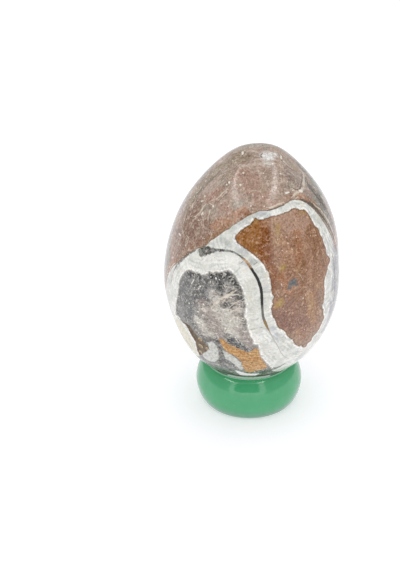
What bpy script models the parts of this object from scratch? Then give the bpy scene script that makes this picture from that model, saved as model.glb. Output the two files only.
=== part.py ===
"""A polished egg of fossil-bearing stone, point up, resting in a green ring stand.

Metres, +Z up, -Y is the front. The origin is the middle of the ring's foot, on the
surface that it stands on. The egg lies loose in the ring, so the two share no joint.
"""

import math

import bmesh
import bpy
from mathutils import Matrix, Vector

MM = 0.001

# The egg is turned about its long axis. Its radius at the angle t down from the point is
# EGG_RADIUS * sin t * (1 + EGG_TAPER * cos t + EGG_FULLNESS * cos^2 t).
EGG_LENGTH = 58.3 * MM
EGG_RADIUS = 20.4 * MM
EGG_TAPER = -0.116
EGG_FULLNESS = -0.021
EGG_BOTTOM_HEIGHT = 7.9 * MM
EGG_OFFSET_X = 0.15 * MM
EGG_LEAN = math.radians(3.4)
EGG_LEAN_PIVOT = 20 * MM
EGG_SUBDIVISIONS = 5

# Grinding by hand left the egg a little flat in places. Each is the direction that the flat
# faces, as azimuth (0 is the front, 90 is +X) and elevation in degrees, and the depth of its
# middle under the turned form.
EGG_FLATS = (
    (-91, 83, 1.25 * MM),
    (-91, 40, 1.5 * MM),
    (91, 46, 1.5 * MM),
    (91, 7, 0.35 * MM),
    (-91, -27.5, 1.4 * MM),
)
FLAT_EDGE_SOFTNESS = 0.5 * MM

# The ring's section is two half superellipses that share its crest. A slice off the bottom
# gives it a flat foot.
RING_HEIGHT = 10.7 * MM
RING_OUTER_RADIUS = 12.5 * MM
RING_CREST_RADIUS = 10.0 * MM
RING_HOLE_RADIUS = 8.5 * MM
RING_FOOT_SLICE = 0.15 * MM
RING_BULGE_POWER = 1.7
OUTER_PROFILE_STEPS = 16
INNER_PROFILE_STEPS = 10
RING_SEGMENTS = 60

STONE_BROWN = (0.30, 0.19, 0.13, 1.0)
RING_GREEN = (0.03, 0.29, 0.12, 1.0)


def clear_scene():
    """Remove whatever the file opened with."""
    for thing in list(bpy.data.objects):
        bpy.data.objects.remove(thing, do_unlink=True)


def plain_material(name, colour, roughness):
    """A Principled material of one colour."""
    material = bpy.data.materials.new(name)
    material.use_nodes = True
    shader = material.node_tree.nodes["Principled BSDF"]
    shader.inputs["Base Color"].default_value = colour
    shader.inputs["Roughness"].default_value = roughness
    shader.inputs["Metallic"].default_value = 0.0
    return material


def object_from(name, bm, material):
    """Turn a bmesh into a smooth-shaded object that faces outwards."""
    bmesh.ops.recalc_face_normals(bm, faces=bm.faces)
    mesh = bpy.data.meshes.new(name)
    bm.to_mesh(mesh)
    bm.free()
    mesh.materials.append(material)
    mesh.shade_smooth()
    thing = bpy.data.objects.new(name, mesh)
    bpy.context.scene.collection.objects.link(thing)
    return thing


def direction(azimuth, elevation):
    """Unit vector of an azimuth and an elevation in degrees."""
    around, up = math.radians(azimuth), math.radians(elevation)
    return Vector((math.sin(around) * math.cos(up), -math.cos(around) * math.cos(up), math.sin(up)))


def egg_point(unit):
    """Where a point of the unit sphere lies on the egg, whose middle is at the origin."""
    swell = 1 + EGG_TAPER * unit.z + EGG_FULLNESS * unit.z**2
    radius = EGG_RADIUS * swell
    return Vector((radius * unit.x, radius * unit.y, EGG_LENGTH / 2 * unit.z))


def ground_flat(points, facing, depth):
    """Press the points that stand out past a plane softly back onto it."""
    reach = max(point.dot(facing) for point in points)
    plane = reach - FLAT_EDGE_SOFTNESS * math.log(math.expm1(depth / FLAT_EDGE_SOFTNESS))
    for point in points:
        past = (point.dot(facing) - plane) / FLAT_EDGE_SOFTNESS
        pressed = FLAT_EDGE_SOFTNESS * math.log1p(math.exp(past))
        point -= facing * pressed


def make_egg():
    """The stone egg, leaning slightly to +X in the ring."""
    bm = bmesh.new()
    bmesh.ops.create_icosphere(bm, subdivisions=EGG_SUBDIVISIONS, radius=1.0)
    for vertex in bm.verts:
        vertex.co = egg_point(vertex.co)
    points = [vertex.co for vertex in bm.verts]
    for azimuth, elevation, depth in EGG_FLATS:
        ground_flat(points, direction(azimuth, elevation), depth)
    stand = Matrix.Translation((EGG_OFFSET_X, 0, EGG_BOTTOM_HEIGHT + EGG_LEAN_PIVOT))
    lean = Matrix.Rotation(EGG_LEAN, 4, "Y")
    pivot = Matrix.Translation((0, 0, EGG_LENGTH / 2 - EGG_LEAN_PIVOT))
    bmesh.ops.transform(bm, matrix=stand @ lean @ pivot, verts=bm.verts)
    return object_from("fossil_egg", bm, plain_material("stone", STONE_BROWN, 0.15))


def bulge(width, start, end, steps):
    """Points of a half superellipse that bulges by width from the crest's radius.

    They are pairs of radius and height. The angle runs from start to end in degrees, where
    -90 is the bottom and 90 the crest.
    """
    half_height = (RING_HEIGHT + RING_FOOT_SLICE) / 2
    power = 2 / RING_BULGE_POWER
    points = []
    for step in range(steps + 1):
        angle = math.radians(start + (end - start) * step / steps)
        across = abs(math.cos(angle)) ** power
        up = math.copysign(abs(math.sin(angle)) ** power, math.sin(angle))
        height = half_height * (1 + up) - RING_FOOT_SLICE
        points.append((RING_CREST_RADIUS + width * across, height))
    return points


def foot_angle():
    """Angle at which the section's bulges meet the plane of the foot, in degrees."""
    half_height = (RING_HEIGHT + RING_FOOT_SLICE) / 2
    below = 1 - RING_FOOT_SLICE / half_height
    return -math.degrees(math.asin(below ** (RING_BULGE_POWER / 2)))


def ring_section():
    """The ring's closed section, from its outer foot over the crest to its inner foot."""
    outer_width = RING_OUTER_RADIUS - RING_CREST_RADIUS
    inner_width = RING_HOLE_RADIUS - RING_CREST_RADIUS
    outer = bulge(outer_width, foot_angle(), 90, OUTER_PROFILE_STEPS)
    inner = bulge(inner_width, 90, foot_angle(), INNER_PROFILE_STEPS)
    return outer + inner[1:]


def make_ring():
    """The ring stand, its section swept round +Z."""
    bm = bmesh.new()
    section = [bm.verts.new((radius, 0, height)) for radius, height in ring_section()]
    edges = [bm.edges.new(pair) for pair in zip(section, section[1:] + section[:1])]
    bmesh.ops.spin(
        bm,
        geom=section + edges,
        cent=(0, 0, 0),
        axis=(0, 0, 1),
        angle=math.tau,
        steps=RING_SEGMENTS,
        use_merge=True,
    )
    return object_from("ring_stand", bm, plain_material("green_plastic", RING_GREEN, 0.1))


clear_scene()
make_egg()
make_ring()
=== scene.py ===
"""Looks for a polished egg of fossil-bearing stone that rests in a glossy green ring stand.

Metres, +Z up, -Y is the front, the origin is the middle of the ring's foot. The stone's
markings are outlines drawn on the egg. Each becomes a distance that every mesh point
carries, and the shader paints and roughens the edges from those distances.
"""

import math

import bmesh
import bpy
import numpy as np
from mathutils import Matrix, Vector
from mathutils.bvhtree import BVHTree
from mathutils.kdtree import KDTree


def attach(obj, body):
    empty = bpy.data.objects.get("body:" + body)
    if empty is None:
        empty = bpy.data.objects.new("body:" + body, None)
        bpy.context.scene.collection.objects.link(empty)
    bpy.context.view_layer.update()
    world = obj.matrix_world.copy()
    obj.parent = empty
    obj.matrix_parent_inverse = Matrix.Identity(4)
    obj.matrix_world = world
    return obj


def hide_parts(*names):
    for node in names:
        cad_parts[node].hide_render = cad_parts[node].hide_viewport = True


MM = 0.001

# Egg and ring, as the part's source has them.
EGG_LENGTH = 58.3 * MM
EGG_RADIUS = 20.4 * MM
EGG_TAPER = -0.116
EGG_FULLNESS = -0.021
EGG_BOTTOM_HEIGHT = 7.9 * MM
EGG_OFFSET_X = 0.15 * MM
EGG_LEAN = math.radians(3.4)
EGG_LEAN_PIVOT = 20 * MM
EGG_FLATS = (
    (-91, 83, 1.25 * MM),
    (-91, 40, 1.5 * MM),
    (91, 46, 1.5 * MM),
    (91, 7, 0.35 * MM),
    (-91, -27.5, 1.4 * MM),
)
FLAT_EDGE_SOFTNESS = 0.5 * MM
RING_HEIGHT = 10.7 * MM
RING_OUTER_RADIUS = 12.5 * MM
RING_CREST_RADIUS = 10.0 * MM
RING_HOLE_RADIUS = 8.5 * MM
RING_FOOT_SLICE = 0.15 * MM
RING_BULGE_POWER = 1.7

# Mesh fineness. The egg's mesh is finest on the marked front.
CUBE_CUTS = 127
FINE_SIDE = Vector((0, -0.87, 0.5))
FINE_SHARE = 0.38
RING_SEGMENTS = 240
OUTER_PROFILE_STEPS = 40
INNER_PROFILE_STEPS = 28

# Camera, whose frame is 400 x 570 pixels.
FRAME_WIDTH = 400
FRAME_HEIGHT = 570
CAMERA_PLACE = Vector((-0.01163, -0.46593, 0.30369))
CAMERA_TILT = math.radians(30.407)
FOCAL_PIXELS = 2321.2
SENSOR_WIDTH = 36
CLIP_START = 0.01

# Spacing of the points of a drawn line.
PATH_STEP = 0.12 * MM

# Real relief of the polished stone, inwards. The skin keeps its fine mesh inside the part's
# coarser faces. The slopes, in mm, are how far in from its edge a form reaches full depth.
SKIN_DEPTH = 0.04 * MM
CREVICE_DEPTH = 0.22 * MM
SEAM_DEPTH = 0.06 * MM
CREVICE_SLOPE = 0.5
NODULE_SLOPE = 0.3

# Fine relief from the materials' own noise, in mm.
STONE_GRAIN = 0.014
RING_RIPPLE = 0.04
TABLE_GRAIN = 0.02

# Bands of colour or roughness by height, in mm: where each starts and where it is full.
PALE_TOP = (42, 60)
# Painted highlight: the white patches turn almost pure white towards the bottom.
LOW_PATCH_PAINTED_HIGHLIGHT = (16.5, 15.5)
DULL_SEAT = (14.4, 13.4)
# Painted shade, then below it a painted green reflection of the ring, where the egg sits in it.
SEAT_PAINTED_SHADE = (13.9, 13.3)
SEAT_PAINTED_REFLECTION = (12.5, 12.1)
# Painted highlight along the ring's crest.
CREST_PAINTED_HIGHLIGHT = (10.56, 10.66)
# Painted shade at the ring's foot, where it meets the table.
FOOT_PAINTED_SHADE = (3.2, 1)

# The light that the gloss adds to a colour, so that colours can be given as they show, and
# the darkest base colour.
GLOSS_VEIL = 0.035
DARKEST_LIGHT = 0.004

# How a soft patch fades in: how far outside its edge in mm it starts, how far inside it is
# full, as a number below zero, and the share that it then covers.
SHADE_FADE = (0.9, -0.3, 0.85)

# The smallest divisors, so that nothing is divided by zero.
LEAST_DIVISOR = 0.01
LEAST_SQUARE = 1e-12

# How far the noise moves the edge of a marking, in mm from one side to the other.
RAGGEDNESS = {
    "white_mass": 0.35,
    "brown_chamber": 0.6,
    "grey_chamber": 0.8,
    "crevice": 0.6,
    "cream_band": 0.5,
    "white_patches": 0.7,
    "orange_patch": 0.7,
    "dark_patches": 1.2,
    "nodules": 0.3,
    "slate_blobs": 1.4,
    "ochre_blobs": 1.6,
    "white_flecks_and_painted_glints": 0.3,
}

# Markings. Pixel pairs are places in the camera's frame, cast onto the egg. Places on the
# sides that the camera doesn't see are pairs of azimuth in degrees and height in mm.
WHITE_MASS_SEEN = (
    (165.6, 289), (166.2, 283), (167.2, 277.6), (169, 272.6), (171.6, 268.6), (175.2, 264.6),
    (179.4, 261.4), (184.4, 257.3), (190, 253), (195.6, 249.2), (201.5, 247.6), (207.2, 244.6),
    (210, 241.1), (214.4, 238.6), (220, 234.4), (225.6, 230.6), (228.9, 229.2), (232.8, 225.6),
    (236.7, 223.3), (244.4, 218.3), (247.8, 216.1), (255.6, 212.8), (260, 211.1), (268.3, 210.6),
    (276.1, 208.3), (285, 204.3), (290, 201), (295, 199.8), (300, 200.2), (305, 202.4), (310, 206),
    (314.5, 210.2), (318.5, 214.8), (322, 219.6), (325.6, 225.2), (328.8, 231.2), (331.6, 237.6),
    (334, 244), (336.5, 250.5),
)
WHITE_MASS_UNSEEN = (
    (88, 43), (96, 40.5), (103, 35), (106, 28), (112, 21), (134, 14.5), (165, 12.5), (200, 12.5), (228, 15),
    (243, 19.5), (253, 24), (261, 27.6),
)
BROWN_CHAMBER = (
    (235, 237), (238.3, 232.8), (242.2, 229.4), (246.1, 226.7), (250, 224.4), (252.8, 221.1),
    (255.6, 217.8), (258.3, 219.4), (262.2, 219.4), (266.1, 218.1), (271.1, 216.1), (275.6, 215.3),
    (280, 214.2), (288.3, 211.4), (293.3, 208.3), (296.7, 208.5), (300.3, 209.8), (304.5, 209.6),
    (307.5, 212.6), (310.4, 217.4), (312.6, 221.4), (315.2, 225.9), (318.6, 229.2), (320.3, 234.7),
    (322.4, 237.6), (323.8, 242.9), (325.3, 246.5), (326.2, 251.2), (327.1, 254.7), (330, 258.2),
    (329.7, 262.4), (327.9, 265.9), (327.6, 269.4), (325, 278.2), (324.3, 285.3), (324.7, 290.7),
    (323.7, 302), (322, 306.7), (323.7, 310), (323.3, 313.3), (324.3, 318), (322.7, 321.3), (318.7, 330),
    (312.7, 337.3), (311.3, 340.7), (308, 343.3), (306, 346.7), (303.3, 347.7), (301, 345.7),
    (299.3, 346.7), (294, 343.3), (292.7, 340), (289.3, 338), (286.7, 335.3), (284.7, 331.3), (278, 327.3),
    (276.7, 324), (275, 320), (273.3, 317.3), (272, 313.3), (271.3, 308), (272.7, 303.3), (272, 300.7),
    (274, 296.7), (272.7, 294.7), (271, 290), (271.3, 286), (270.3, 280), (268.3, 272.2), (266.1, 269.4),
    (264.4, 265.6), (258.9, 259.4), (253.3, 254.4), (246.1, 249.4), (240, 245), (237.2, 242.8),
)
GREY_CHAMBER_SEEN = (
    (199.3, 355.5), (197.3, 350.7), (195.3, 342), (192, 336.7), (186.7, 326.7), (182.7, 322.7),
    (178.7, 316.7), (175.7, 314.7), (175.7, 310), (176, 304), (177.7, 293.3), (178.7, 286.7),
    (179.2, 281.1), (181.7, 275.6), (185.6, 271.1), (190, 270), (194.4, 271.7), (198.9, 272.8),
    (202.2, 275), (207.2, 273.9), (208.9, 271.1), (212.8, 272.8), (215.6, 271.7), (220, 272.2),
    (228.3, 270), (231.7, 272.2), (235, 275.6), (236.9, 279.4), (239.3, 284), (243.3, 292), (244.7, 300),
    (246, 306), (244.7, 311.3), (244.7, 317.3), (246.7, 321.3), (247.3, 328), (249.3, 332.7),
    (250.7, 337.3), (253.3, 340), (253.3, 344), (258, 345.3), (258.7, 349.3), (260, 354.7), (262.7, 358.7),
    (269.3, 366), (272, 370.5),
)
GREY_CHAMBER_UNSEEN = (
    (36, 12.6), (20, 11), (0, 10.4), (-20, 10.4), (-38, 11.4), (-52, 13.4), (-60, 15.6),
)
BACK_MASS = (
    (121, 43), (136, 50), (158, 53), (182, 51), (204, 47), (221, 40), (227, 31), (219, 23), (203, 18.5),
    (182, 17), (160, 19), (141, 24.5), (124, 33),
)
BACK_CHAMBER = (
    (129, 42.5), (141, 46), (151, 46.5), (160, 49), (171, 47.5), (183, 47.5), (200, 43.5), (205, 40),
    (214, 37), (219, 31), (212, 27), (209, 25), (198, 22), (190, 22.5), (182, 20.5), (163, 22), (158, 24.5),
    (147, 27.5), (139, 31), (133, 36),
)

# Patches that lie on the bodies above, each of one or more outlines.
PATCHES = {
    "pale_crystals": (
        ((229, 287), (238, 292), (242, 303), (242, 318), (244, 331), (248, 342), (240, 338), (228, 334),
         (217, 334), (207, 338), (199, 331), (196.5, 320), (198.5, 309), (206, 303), (213, 300),
         (219, 293)),
    ),
    "rust_zone": (
        ((235.5, 237), (243, 229), (253, 221), (262, 220.5), (267, 226), (268, 238), (264, 249), (266, 256),
         (274, 268), (274.5, 280), (271, 276), (263, 263), (253, 254.5), (243, 247)),
    ),
    "red_fringe": (
        ((258, 222), (265, 223), (270.5, 231), (271, 243), (274, 254), (273.5, 264), (276, 276), (274, 292),
         (271.5, 286), (269, 274), (263, 264), (258, 257), (259, 244), (261, 232)),
    ),
    "orange_patch": (
        ((218.7, 338.7), (224, 340), (227.3, 343.3), (233.3, 346), (240, 349.3), (244.7, 351.3), (250, 352),
         (255.3, 348), (258.7, 350.7), (260, 355.3), (262.7, 360), (266.7, 366), (266, 368.7), (260, 370),
         (253.3, 372), (249.3, 372.7), (244.7, 370.7), (241.3, 362.7), (238, 358.7), (233.3, 355.3),
         (228.7, 353.3), (224, 348.7), (221.3, 344.7)),
    ),
    "white_patches": (
        ((208, 343), (212, 342), (215.5, 345), (217.8, 350), (218.6, 355), (218, 359.5), (213.5, 362),
         (208, 360.6), (203.5, 357.2), (202.8, 353.6), (206.4, 351.6), (208.6, 349.4)),
        ((222.5, 350.5), (227, 352.6), (232, 355.4), (236.5, 358.6), (240, 362), (242.4, 366),
         (243.4, 369.2), (240.6, 369.8), (236.4, 366.4), (231, 362), (226, 359), (223.6, 355.6)),
        ((235, 370.4), (240, 371.6), (246, 373.2), (254, 373.8), (262, 373.4), (257, 376), (250, 376.8),
         (243, 376), (238, 373.6)),
    ),
    "crevice": (
        ((176.5, 316.5), (182.7, 321.3), (189.3, 325.3), (193.3, 330.7), (196.7, 335.3), (202.7, 340),
         (205.3, 344), (209.3, 348), (206.7, 352), (202.7, 354), (199.5, 355.5), (197.3, 350.7),
         (195.3, 342), (192, 336.7), (186.7, 326.7), (182.7, 322.7)),
    ),
    "dark_patches": (
        ((198.6, 250.5), (200, 248.2), (203.5, 246.4), (207.5, 246), (211, 247.2), (214.5, 248.6),
         (216.5, 251), (213, 253.2), (209, 254.8), (205, 255.6), (200.8, 256.8), (199, 254)),
        ((218, 345), (221, 349), (224.5, 356.5), (222.5, 364), (217.5, 363), (219.5, 357)),
    ),
    "cream_band": (
        ((173.8, 317.5), (179.5, 321.5), (185.5, 329.5), (190, 337), (194, 345), (197, 351.5), (198.8, 356),
         (196, 354.5), (191, 349), (185.5, 342.5), (181, 334.5), (177, 326.5)),
    ),
}

# Lines are places with half their width there, in mm.
SEAM = (
    (211, 250, 0.34), (215.5, 250, 0.36), (220, 250.3, 0.34), (225.6, 250.6, 0.3), (233.3, 252, 0.22),
    (239.4, 255.6, 0.2), (243.9, 259.2, 0.28), (248.3, 263.9, 0.32), (252.8, 271.1, 0.3),
    (256.7, 277.2, 0.34), (260, 285.3, 0.36), (261.5, 292, 0.35), (262, 302, 0.32), (262.4, 310, 0.28),
    (263.3, 317.3, 0.3), (265.5, 323.5, 0.36), (268.7, 330, 0.16), (273.3, 338.7, 0.12), (278, 346.7, 0.11),
    (281.3, 353.3, 0.09), (284.7, 356.7, 0.09), (289.3, 359.3, 0.09),
)
DARK_LINES = (
    ((196, 249.6, 0.12), (187, 255.8, 0.2), (182, 260, 0.26), (177.4, 264.6, 0.24), (174.6, 269, 0.16),
     (172.6, 274.6, 0.1), (171.2, 282, 0.05)),
    ((266.7, 210.6, 0.1), (274, 208.8, 0.13), (280, 206.7, 0.13), (284.5, 204.3, 0.08)),
    ((300, 199.2, 0.16), (306, 201.3, 0.3), (311.5, 204.6, 0.42), (315.5, 208.4, 0.36),
     (319.5, 212.8, 0.26), (324, 218.6, 0.26), (327.6, 224.2, 0.22), (330.8, 230.4, 0.24),
     (333.4, 237, 0.18), (335.4, 244, 0.14), (336.8, 252, 0.1)),
    ((300.7, 174.3, 0.14), (302.1, 177.9, 0.17), (301.8, 182.1, 0.16), (300.7, 186.4, 0.14),
     (299.3, 189.3, 0.13), (296.4, 189.6, 0.12), (293.6, 188.2, 0.15), (290, 186.8, 0.13),
     (287.5, 185.7, 0.1)),
    ((248.7, 330, 0.07), (260, 327.7, 0.09), (263.3, 328, 0.07)),
    # The next two lines, along the egg's lower edge just above the ring, are painted shade.
    ((212, 365.6, 0.3), (219, 369.4, 0.7), (226, 371.8, 0.9), (233, 374.2, 0.7), (240, 376.2, 0.4)),
    ((256, 376.4, 0.3), (263, 373, 0.8), (270, 369.6, 0.9), (277, 368, 0.4), (286, 363, 0.1)),
    ((238.9, 264.4, 0.05), (245, 260, 0.06)),
    ((253.3, 265, 0.05), (257.8, 261.7, 0.06)),
    ((229, 191.5, 0.07), (217.7, 202, 0.07)),
    ((212, 180, 0.03), (216.5, 175.5, 0.04), (222, 173.4, 0.06), (229, 171, 0.07), (233.5, 169.2, 0.06),
     (236.5, 166, 0.08), (239, 164, 0.06)),
    ((192.5, 197.5, 0.04), (196.5, 193.8, 0.08), (200, 190.2, 0.09), (204.5, 187, 0.09), (208.5, 183, 0.08),
     (212, 180, 0.04)),
    ((182.6, 218.5, 0.04), (184.2, 213, 0.12), (186.6, 207, 0.1), (188.2, 202.5, 0.05)),
    ((263.2, 152.6, 0.1), (261.2, 154.2, 0.14), (261.4, 156.4, 0.13), (263, 157.6, 0.09)),
    ((281, 159.8, 0.1), (285, 163.6, 0.13), (290, 168.2, 0.15), (296, 171.6, 0.08)),
    ((304, 177, 0.14), (308, 184, 0.3), (312.5, 191, 0.38), (318, 197.6, 0.42), (323, 203.8, 0.36),
     (327, 210.4, 0.34), (330.2, 217.6, 0.28), (332.6, 225, 0.16)),
    ((180.6, 332, 0.08), (184, 338, 0.12), (189.5, 345, 0.12), (192.5, 350.5, 0.08)),
    ((331.5, 250, 0.07), (334.5, 268, 0.12), (335, 285, 0.12), (333, 303, 0.08)),
)
PALE_LINES = (
    ((265.7, 207.1, 0.09), (270.7, 207.4, 0.15), (275.7, 205.2, 0.19), (280, 203.4, 0.17),
     (284.3, 201.6, 0.1)),
    ((313, 203.2, 0.1), (317, 206.6, 0.18), (321.6, 211, 0.26), (325.4, 216.2, 0.2), (328.8, 221.8, 0.18),
     (331.8, 228.6, 0.2), (334.4, 236, 0.18), (336.4, 244, 0.14)),
    ((175.6, 262.6, 0.1), (172.4, 265.6, 0.14), (169.8, 270, 0.14), (168.2, 274.6, 0.1)),
    ((303, 172, 0.14), (304, 178, 0.32), (303.4, 185, 0.36), (301.4, 190.6, 0.34), (296, 193.3, 0.22),
     (290.7, 197.9, 0.24)),
    ((298.6, 196.4, 0.12), (294.3, 199.3, 0.12)),
    ((288, 188.2, 0.1), (291.5, 188.2, 0.16), (295, 191, 0.13)),
    ((282.6, 159.7, 0.13), (285.4, 162.6, 0.12), (290, 166.4, 0.08), (299.5, 170.6, 0.1)),
    ((228.4, 188, 0.08), (223, 192.6, 0.12), (219.4, 196.2, 0.12), (215.8, 199.6, 0.08)),
    ((201.4, 185.8, 0.14), (199.6, 189.4, 0.16)),
    ((196.2, 198, 0.1), (195, 201, 0.14), (192.6, 204.4, 0.18), (192.4, 208.4, 0.14)),
    ((189.4, 205.8, 0.1), (192.2, 206.2, 0.12)),
    ((192.6, 217, 0.12), (196.4, 215.4, 0.18), (199.4, 212.6, 0.16), (202, 209, 0.18), (204, 205.8, 0.2),
     (206.4, 203.4, 0.12)),
    ((206.6, 205, 0.1), (209.4, 203.6, 0.15), (211.4, 204.6, 0.12), (213.2, 206.2, 0.1)),
    ((200.6, 214.8, 0.12), (202.6, 212.4, 0.24), (203.2, 211.4, 0.12)),
    ((210.4, 208.8, 0.1), (209, 212.4, 0.14), (208.2, 217, 0.12), (207.8, 221.4, 0.14)),
    ((185.4, 214, 0.08), (184.8, 218, 0.14), (183.6, 222, 0.12)),
    ((186, 235.4, 0.08), (189.4, 238.8, 0.1)),
    ((298, 272.4, 0.03), (300.6, 275.8, 0.06), (303.6, 280.6, 0.04)),
    ((274.6, 288.6, 0.03), (276.6, 293, 0.05), (279.6, 297.8, 0.06)),
    ((304.2, 287.8, 0.03), (307.4, 288, 0.05), (311, 286, 0.04)),
    ((307, 289, 0.03), (308.8, 298, 0.04), (311.4, 303.4, 0.04)),
    ((292, 267.6, 0.03), (294.6, 269.4, 0.05), (296, 271, 0.03)),
    ((281, 287.6, 0.04), (283, 292.4, 0.04)),
    ((240.6, 268.9, 0.07), (250, 278.9, 0.07)),
    ((254, 335.3, 0.07), (257.3, 340, 0.07)),
    ((210.7, 308.7, 0.1), (221, 300, 0.15), (233.3, 291.3, 0.12)),
    ((213, 304.5, 0.1), (219.5, 299, 0.13), (225.5, 295.5, 0.1)),
    ((221.5, 304, 0.08), (228, 297, 0.12), (237, 289.5, 0.1)),
    ((229, 308, 0.08), (235, 303, 0.1), (243, 299, 0.08)),
    ((229, 322.5, 0.1), (233.5, 318, 0.14), (239.5, 316.5, 0.1)),
    ((230, 313, 0.08), (236, 309.5, 0.12), (243, 308.5, 0.08)),
)

# Soft patches of other shades within each kind of stone: the colour as it shows, then blobs
# that run from one place to another, with their radius in mm. Those round the limb are painted
# shade and painted grazing reflection, and are the most ragged, since the sides show them whole.
SHADES = {
    "matrix_limb_painted_shade": (
        ((142, 146, 138), (240, 143, 204, 168, 4.6), (204, 168, 182, 196, 5), (182, 196, 168, 228, 5.4),
         (168, 228, 163, 262, 5.4), (296, 156, 307, 169, 4.6), (307, 169, 320, 188, 5.6),
         (320, 188, 331, 209, 5.6), (331, 209, 337, 232, 4.6), (317, 205, 325, 216, 1.4),
         (325, 216, 332, 233, 1.6), (337, 232, 339, 256, 4)),
    ),
    "matrix": (
        # Painted reflection: paler along the upper limb.
        ((174, 170, 159), (236, 145, 206, 164, 2), (292, 150, 303, 163, 2)),
        ((150, 133, 112), (241, 157, 222, 168, 2.3), (217, 171, 203, 184, 2.3), (199, 189, 190, 203, 1.6)),
        ((132, 114, 94), (214, 177, 208, 183, 0.6), (202, 189, 195, 199, 0.9), (188, 212, 185, 221, 0.6),
         (205, 243, 224, 232, 0.35)),
        ((144, 117, 104), (198, 205, 193, 240, 1.6), (205, 226, 198, 243, 1.6), (190, 215, 184, 244, 1.2)),
        ((166, 155, 142), (205, 203, 213, 212, 0.8), (222, 182, 221, 186, 0.9), (241, 205, 232, 207, 0.8),
         (292, 184, 288, 186, 0.8)),
        ((182, 140, 114), (216, 227, 234, 217, 0.9), (232, 214, 244, 211, 0.7), (300, 197, 313, 203, 0.7)),
        ((166, 130, 116), (219, 192, 212, 199, 0.9), (207, 200, 204, 196, 0.5)),
        ((138, 94, 72), (240, 216.5, 249, 213.5, 0.25)),
        ((177, 147, 132), (242, 176, 262, 196, 2), (226, 207, 229, 215, 0.8)),
        ((168, 150, 132), (282, 158, 292, 165, 1)),
        # Painted reflection: a pale strip along the very top limb.
        ((182, 177, 167), (236, 150, 250, 145.5, 0.6), (252, 145.5, 268, 145.5, 0.7),
         (270, 146, 290, 156, 0.5)),
        ((154, 138, 130), (288, 174, 296, 180, 1.1), (304, 190, 309, 197, 0.5)),
        ((96, 93, 84), (305, 178, 309, 185, 0.6), (309, 185, 315, 193, 1.1), (315, 193, 322, 202, 1.2),
         (322, 202, 328, 212, 1.2), (328, 212, 332, 223, 0.9)),
        ((150, 112, 78), (210, 238, 220, 231.5, 0.2), (222, 230, 232, 223.5, 0.15)),
        ((118, 110, 102), (190, 252, 177, 268, 0.5), (305, 202, 315, 206, 0.3)),
        ((214, 208, 200), (265, 158, 268, 163, 0.7)),
        ((246, 247, 245), (265, 154, 273, 154.5, 0.75), (267, 157, 270, 157.6, 0.65)),
    ),
    # Painted shade along the right limb.
    "calcite_limb_painted_shade": (
        ((148, 149, 156), (334.8, 240, 336, 262, 1.8), (336, 262, 335.6, 285, 2),
         (335.4, 285, 332.6, 308, 2), (332.6, 308, 326.5, 330, 1.3)),
    ),
    "calcite": (
        ((196, 196, 192), (171.6, 272, 169.6, 284, 0.5), (166.4, 282, 167, 296, 2)),
        ((194, 197, 200), (238, 241, 246, 250, 0.6), (257, 213, 266, 215, 0.4), (272, 328, 279, 340, 0.2),
         (240, 224, 243, 222, 0.2)),
        ((238, 237, 230), (207, 261, 236, 261, 1)),
        ((216, 216, 207), (251, 285, 252, 330, 1.2), (262, 345, 274, 359, 1.2), (264, 285, 266, 310, 0.8)),
        ((204, 204, 201), (325, 238, 330, 262, 0.7), (329, 268, 328, 300, 0.4)),
        ((176, 180, 176), (248, 262, 254, 262, 0.3), (226, 245, 231, 247, 0.2)),
    ),
    "brown": (
        ((182, 152, 134), (284, 216, 303, 222, 1.7), (276, 226, 300, 231, 1.1)),
        ((147, 117, 102), (286, 306, 300, 312, 2), (300, 318, 308, 326, 1.6)),
        ((171, 138, 108), (276.5, 226, 279, 243, 0.7), (309, 294, 313, 322, 0.7), (299, 271, 302, 274, 0.5),
         (313, 276, 317, 284, 0.5)),
        ((184, 147, 122), (285, 242, 289, 250, 0.7)),
        ((163, 119, 92), (297, 233, 299, 262, 0.6), (281, 276, 289, 291, 0.7)),
        ((145, 110, 86), (312, 232, 322, 262, 1.5), (318, 262, 316, 276, 1.2), (303, 262, 303, 290, 0.8)),
        ((143, 113, 102), (277, 311, 290, 328, 1.8), (283, 320, 298, 322, 1.2)),
        ((150, 129, 112), (320.5, 292, 320.5, 322, 0.5), (313, 332, 304, 343, 0.9),
         (290, 335, 299, 343, 0.6)),
    ),
    "grey": (
        ((122, 122, 121), (183, 292, 196, 318, 1.5), (184, 282, 187, 284, 0.6)),
        ((198, 193, 184), (212, 294, 218, 302, 0.7), (198, 320, 205, 331, 0.9), (223, 312, 234, 321, 1),
         (226, 324, 239, 334, 1.1)),
        ((160, 149, 143), (203, 306, 214, 324, 1.3), (217, 327, 221, 336, 0.8), (242, 330, 250, 345, 0.8)),
        ((78, 79, 79), (212, 276, 229, 277, 0.7), (219, 284, 222, 291, 0.6), (188, 272, 199, 276, 0.5),
         (231, 293, 242, 298, 0.7), (223, 303, 230, 306, 0.5), (234, 282, 240, 287, 0.5),
         (229, 338, 239, 346, 0.6)),
    ),
}

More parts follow.
